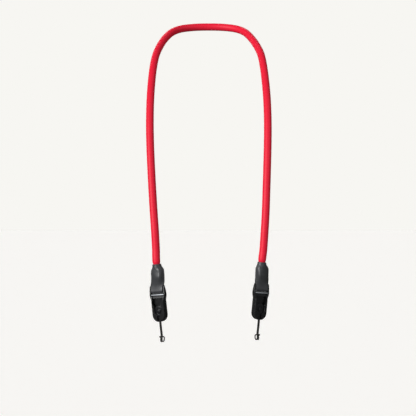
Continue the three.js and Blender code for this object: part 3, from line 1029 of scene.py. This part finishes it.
def make_bar():
    """The bar with domed ends, in millimetres about the crossbar."""
    bar = start_round("bar", BAR_RADIUS, BAR_LENGTH, (0, BAR_DEPTH, BAR_HEIGHT), "x", 40)
    pick("edges", lambda e: abs(abs(e.verts[0].co.x) - BAR_LENGTH / 2) < 1e-3
         and abs(e.verts[0].co.x - e.verts[1].co.x) < 1e-3)
    bpy.ops.mesh.bevel(offset=BAR_DOME, segments=4, affect="EDGES")
    done_editing()
    bpy.ops.object.shade_smooth_by_angle(angle=math.radians(40))
    return bar


bar_model = make_bar()
print("steel bar with", len(bar_model.data.polygons), "faces")

# %% Disc
DISC_RADIUS, DISC_FRONT, DISC_BACK = 7.6, -3.1, -0.4
DISC_EDGE = 0.5
BOSS_RADIUS, BOSS_RISE, BOSS_EDGE = 2.3, 1.2, 0.45
GROOVE_RADIUS, GROOVE_DEPTH, GROOVE_WALL, GROOVE_FLOOR = 4.1, 0.35, 0.35, 0.5


def front_face(face):
    return face.normal.y < -0.9


def make_disc():
    """The disc in millimetres about the crossbar, its front towards -y."""
    middle = (0, (DISC_FRONT + DISC_BACK) / 2, DISC_HEIGHT)
    disc = start_round("disc", DISC_RADIUS, DISC_BACK - DISC_FRONT, middle, "y", 72)
    pick("edges", lambda e: abs(e.verts[0].co.y - e.verts[1].co.y) < 1e-3)
    bpy.ops.mesh.bevel(offset=DISC_EDGE, segments=4, affect="EDGES")
    pick("faces", lambda f: front_face(f) and len(f.verts) > 8)
    bpy.ops.mesh.inset(thickness=DISC_RADIUS - DISC_EDGE - GROOVE_RADIUS)
    bpy.ops.mesh.inset(thickness=GROOVE_WALL, depth=-GROOVE_DEPTH)
    bpy.ops.mesh.inset(thickness=GROOVE_FLOOR)
    bpy.ops.mesh.inset(thickness=GROOVE_WALL, depth=GROOVE_DEPTH)
    bpy.ops.mesh.inset(thickness=GROOVE_RADIUS - 2 * GROOVE_WALL - GROOVE_FLOOR - BOSS_RADIUS)
    bpy.ops.mesh.extrude_region_move(TRANSFORM_OT_translate={"value": (0, -BOSS_RISE, 0)})
    pick("edges", lambda e: abs(e.verts[0].co.y - DISC_FRONT + BOSS_RISE) < 1e-3
         and abs(e.verts[1].co.y - DISC_FRONT + BOSS_RISE) < 1e-3)
    bpy.ops.mesh.bevel(offset=BOSS_EDGE, segments=4, affect="EDGES")
    done_editing()
    bpy.ops.object.shade_smooth_by_angle(angle=math.radians(32))
    return disc


disc_model = make_disc()
print("disc with", len(disc_model.data.polygons), "faces")

# %% [markdown]
# ## Finish of the hard pieces
# The link is moulded glass-filled nylon, nearly black, with the fine spark texture of its mould and a satin
# gloss, a little paler where the edges are rubbed. The disc is a harder, smoother plastic. The bar is
# polished stainless steel with fine marks from turning.

# %% Plastics and steel
MOULD_GRIT = 0.30 * MM
HANDLED_PATCH = 5 * MM
RUB_WIDTH = 0.35 * MM
TURNING_MARKS = 0.4 * MM


def moulded_plastic(name, body, rubbed, smooth, rough, grit):
    """Moulded plastic: satin, with the mould's spark texture and paler rubbed edges."""
    material, tree, shader = start_material(name, IOR=1.53, Specular_IOR_Level=0.32)
    place = add_node(tree, "ShaderNodeTexCoord")
    spark = add_node(
        tree, "ShaderNodeTexNoise",
        links={"Vector": place.outputs["Object"], "Scale": 1 / MOULD_GRIT, "Detail": 2.0},
    )
    handling = add_node(
        tree, "ShaderNodeTexNoise",
        links={"Vector": place.outputs["Object"], "Scale": 1 / HANDLED_PATCH, "Detail": 4.0},
    )
    surface = add_node(tree, "ShaderNodeNewGeometry")
    eased = add_node(tree, "ShaderNodeBevel", {"samples": 6}, {"Radius": RUB_WIDTH})
    turned = add_node(
        tree, "ShaderNodeVectorMath", {"operation": "DOT_PRODUCT"},
        {0: surface.outputs["Normal"], 1: eased.outputs[0]},
    )
    edge = add_node(
        tree, "ShaderNodeMapRange", links={0: turned.outputs["Value"], 1: 1.0, 2: 0.8, 3: 0.0, 4: 1.0}
    )
    rub = add_node(
        tree, "ShaderNodeMath", {"operation": "MULTIPLY"}, {0: edge.outputs[0], 1: handling.outputs[0]}
    )
    tint = add_node(
        tree, "ShaderNodeMix", {"data_type": "RGBA"}, {0: rub.outputs[0], 6: colour(body), 7: colour(rubbed)}
    )
    gloss = add_node(
        tree, "ShaderNodeMapRange", links={0: handling.outputs[0], 1: 0.3, 2: 0.7, 3: smooth, 4: rough}
    )
    bump = add_node(
        tree, "ShaderNodeBump",
        links={
            "Strength": grit, "Distance": 0.02 * MM, "Height": spark.outputs[0], "Normal": eased.outputs[0],
        },
    )
    tree.links.new(tint.outputs[2], shader.inputs["Base Color"])
    tree.links.new(gloss.outputs[0], shader.inputs["Roughness"])
    tree.links.new(bump.outputs[0], shader.inputs["Normal"])
    return material


def polished_steel():
    """Polished stainless steel: bright, with fine marks round the bar."""
    material, tree, shader = start_material("polished_stainless_steel", Metallic=1.0)
    place = add_node(tree, "ShaderNodeTexCoord")
    marks = add_node(
        tree, "ShaderNodeTexNoise",
        links={"Vector": place.outputs["Object"], "Scale": 1 / TURNING_MARKS, "Detail": 2.0},
    )
    gloss = add_node(
        tree, "ShaderNodeMapRange", links={0: marks.outputs[0], 1: 0.3, 2: 0.7, 3: 0.40, 4: 0.50}
    )
    tint = add_node(
        tree, "ShaderNodeMix", {"data_type": "RGBA"},
        {0: marks.outputs[0], 6: colour("#a2a6ab"), 7: colour("#c0c3c7")},
    )
    tree.links.new(tint.outputs[2], shader.inputs["Base Color"])
    tree.links.new(gloss.outputs[0], shader.inputs["Roughness"])
    return material


link_finish = moulded_plastic("black_glass_filled_nylon", "#0a0b0c", "#2a2b2e", 0.22, 0.30, 0.30)
disc_finish = moulded_plastic("black_acetal", "#0c0d10", "#2a2b2e", 0.20, 0.28, 0.12)
steel_finish = polished_steel()
print("hard finishes:", link_finish.name, disc_finish.name, steel_finish.name)

# %% [markdown]
# ## Both links
# The link, the bar and the disc were each modelled once. Each end now gets its own copy with its own mesh,
# put in place by the end's frame, so that every copy can be baked and moved by itself.

# %% Copies at both ends
HARD_PIECES = [
    (link_model, "moulded_link", "link_housing", "link_plastic", link_finish),
    (bar_model, "polished_bar", "steel_bar", "bar_steel", steel_finish),
    (disc_model, "turned_disc", "anchor_disc", "disc_plastic", disc_finish),
]
for model, name, node, slot, finish in HARD_PIECES:
    for side in SIDES:
        copy = model.copy()
        copy.data = model.data.copy()
        copy.name = f"{name}_{side}"
        bpy.context.scene.collection.objects.link(copy)
        copy.data.materials.append(finish)
        put_in_place(copy, side)
        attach(copy, f"{side}_link")
        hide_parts(f"{node}_{side}")
    bpy.data.objects.remove(model)

# %% [markdown]
# ## Floor and light
# The strap hangs in the air as it does round a neck, above a plain pale floor. Suns with wide discs give
# soft, even light: the key stands in front on the left, makes the rope's highlight and lets its right side
# fall away, a weak fill on the right lifts that side a little, and a broad one behind shows the back. The
# surround that the camera sees is as pale as the floor. The light that it sheds is dimmer, and dimmest
# behind, so that black plastic stays black.

# %% Floor
FLOOR_HEIGHT = -0.62
FLOOR_SIDE = 40.0

bpy.ops.object.select_all(action="DESELECT")
bpy.ops.mesh.primitive_plane_add(size=FLOOR_SIDE, location=(0, 0, FLOOR_HEIGHT))
floor = bpy.context.object
floor.name = "floor"
floor.visible_diffuse = False
floor.visible_glossy = False
floor_finish, _, floor_shader = start_material(
    "pale_matt_floor", Roughness=0.9, Specular_IOR_Level=0.0, Emission_Strength=0.275
)
floor_shader.inputs["Base Color"].default_value = colour("#f4f2ee")
floor_shader.inputs["Emission Color"].default_value = colour("#ffffff")
floor.data.materials.append(floor_finish)
print("floor at", FLOOR_HEIGHT, "m")

# %% Light
SURROUND = "#f7f6f2"
BRIGHT_SIDE = (-0.35, -0.94, 0.0)
SHED_FRONT, SHED_BACK = 0.40, 0.05

world = bpy.data.worlds.new("surround")
world.use_nodes = True
seen = world.node_tree.nodes["Background"]
seen.inputs["Color"].default_value = colour(SURROUND)
way = add_node(world.node_tree, "ShaderNodeTexCoord")
towards = add_node(
    world.node_tree, "ShaderNodeVectorMath", {"operation": "DOT_PRODUCT"},
    {0: way.outputs["Generated"], 1: BRIGHT_SIDE},
)
falloff = add_node(
    world.node_tree, "ShaderNodeMapRange",
    links={0: towards.outputs["Value"], 1: -1.0, 2: 1.0, 3: SHED_BACK, 4: SHED_FRONT},
)
shed = add_node(
    world.node_tree, "ShaderNodeBackground",
    links={"Color": colour("#ffffff"), "Strength": falloff.outputs[0]},
)
ray = add_node(world.node_tree, "ShaderNodeLightPath")
either = add_node(
    world.node_tree, "ShaderNodeMixShader",
    links={0: ray.outputs["Is Camera Ray"], 1: shed.outputs[0], 2: seen.outputs[0]},
)
world.node_tree.links.new(either.outputs[0], world.node_tree.nodes["World Output"].inputs["Surface"])
bpy.context.scene.world = world


def soft_sun(name, towards, strength, spread):
    """A sun that stands in a direction seen from the strap, with a disc of so many degrees."""
    lamp = bpy.data.lights.new(name, "SUN")
    lamp.energy = strength
    lamp.angle = math.radians(spread)
    light = bpy.data.objects.new(name, lamp)
    light.rotation_euler = Vector(towards).to_track_quat("Z", "Y").to_euler()
    bpy.context.scene.collection.objects.link(light)
    return light


soft_sun("key_light", (-0.69, -0.66, 0.29), 2.5, 20)
soft_sun("fill_light", (0.62, -0.55, 0.56), 0.4, 50)
soft_sun("back_light", (-0.15, 0.93, 0.34), 1.8, 60)
print("key light on the left, fill on the right and a broad light behind")
